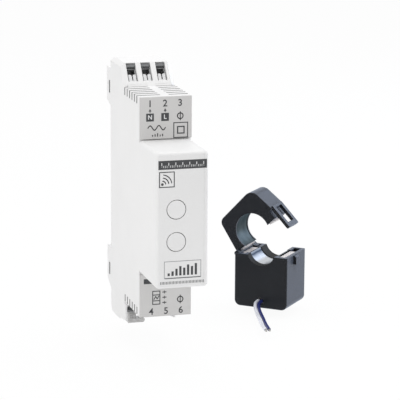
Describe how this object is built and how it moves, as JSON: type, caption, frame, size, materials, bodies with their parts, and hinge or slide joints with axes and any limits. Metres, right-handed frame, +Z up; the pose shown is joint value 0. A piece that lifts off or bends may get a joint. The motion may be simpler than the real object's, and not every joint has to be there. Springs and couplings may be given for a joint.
{
  "type": "smart energy monitor",
  "caption": "One-module rail-mounted energy meter with flush keys and spring terminals, and its split-core current clamp standing open beside it on short bare-ended leads.",
  "frame": {"origin": "centre of the face that seats on the rail, in the middle of the module's width and of its nose", "axes": "+Z up along the module's height, -Y out of the front of the meter, +X to its right; the clamp stands to the right"},
  "size_m": [0.075, 0.0877, 0.0944],
  "materials": {
    "housing_white": "fine matt",
    "plate_grey": "fine matt, printed",
    "clip_grey": "fine matt",
    "spring_steel": "bright",
    "terminal_steel": "zinc plated",
    "block_grey": "matt",
    "board_green": "solder resist",
    "part_black": "satin",
    "can_dark": "sleeved can",
    "film_yellow": "moulded case",
    "disc_blue": "dipped coating",
    "fuse_brown": "coated",
    "shield_steel": "tinned",
    "ferrite_dark": "pressed ferrite",
    "copper_wire": "enamelled copper",
    "switch_cream": "satin",
    "clamp_black": "polished",
    "clamp_inner": "satin",
    "core_bright": "ground pole faces",
    "sleeve_bright": "bright foil",
    "lead_white": "insulation, satin",
    "lead_blue": "insulation, satin",
    "tip_tinned": "tinned strands"
  },
  "bodies": {
    "meter": {"housing_tray": "housing_white", "side_cover": "housing_white", "terminal_plate_upper": "plate_grey", "terminal_plate_lower": "plate_grey", "tact_switch_upper": "switch_cream", "tact_switch_lower": "switch_cream", "button_board": "board_green", "main_board": "board_green", "terminal_block_upper": "block_grey", "terminal_block_lower": "block_grey", "rail_clip_spring": "spring_steel", "transformer_core": "ferrite_dark", "transformer_winding": "film_yellow", "mains_capacitor": "film_yellow", "bulk_capacitor": "can_dark", "output_capacitor": "can_dark", "varistor": "disc_blue", "input_fuse": "fuse_brown", "controller_chip": "part_black", "metering_chip": "part_black", "optocoupler": "part_black", "radio_module": "shield_steel", "radio_antenna": "copper_wire", "snap_key_upper": "part_black", "snap_key_lower": "part_black", "clamp_base_shell": "clamp_black", "clamp_base_cover": "clamp_inner", "clamp_base_core": "core_bright", "clamp_base_sleeve": "sleeve_bright", "clamp_bobbin": "clamp_inner", "clamp_winding": "copper_wire", "clamp_lead_seal": "clamp_inner", "lead_white": "lead_white", "lead_blue": "lead_blue", "lead_white_tip": "tip_tinned", "lead_blue_tip": "tip_tinned", "terminal_cage_1": "terminal_steel", "terminal_leaf_1": "spring_steel", "terminal_cage_2": "terminal_steel", "terminal_leaf_2": "spring_steel", "terminal_cage_3": "terminal_steel", "terminal_leaf_3": "spring_steel", "terminal_cage_4": "terminal_steel", "terminal_leaf_4": "spring_steel", "terminal_cage_5": "terminal_steel", "terminal_leaf_5": "spring_steel", "terminal_cage_6": "terminal_steel", "terminal_leaf_6": "spring_steel"},
    "button_upper": {"button_upper": "housing_white", "switch_plunger_upper": "part_black"},
    "button_lower": {"button_lower": "housing_white", "switch_plunger_lower": "part_black"},
    "rail_clip": {"rail_clip": "clip_grey"},
    "clamp_jaw": {"clamp_jaw_shell": "clamp_black", "clamp_jaw_core": "core_bright", "clamp_jaw_sleeve": "sleeve_bright", "clamp_core_spring": "spring_steel"}
  },
  "joints": [
    {"name": "button_upper_press", "type": "slide", "parent": "meter", "child": "button_upper", "axis": [0, 1, 0], "range_m": [0, 0.0006], "stiffness_N_per_m": 300, "springref_m": -0.0006},
    {"name": "button_lower_press", "type": "slide", "parent": "meter", "child": "button_lower", "axis": [0, 1, 0], "range_m": [0, 0.0006], "stiffness_N_per_m": 300, "springref_m": -0.0006},
    {"name": "rail_clip_slide", "type": "slide", "parent": "meter", "child": "rail_clip", "axis": [0, 0, -1], "range_m": [0, 0.003], "stiffness_N_per_m": 800, "springref_m": -0.003, "deforming": ["rail_clip_spring"]},
    {"name": "clamp_jaw_hinge", "type": "hinge", "parent": "meter", "child": "clamp_jaw", "pos_m": [0.04573, 0.01745, -0.0312], "axis": [-0.6494, -0.7604, 0], "range_deg": [-44, 40]}
  ]
}
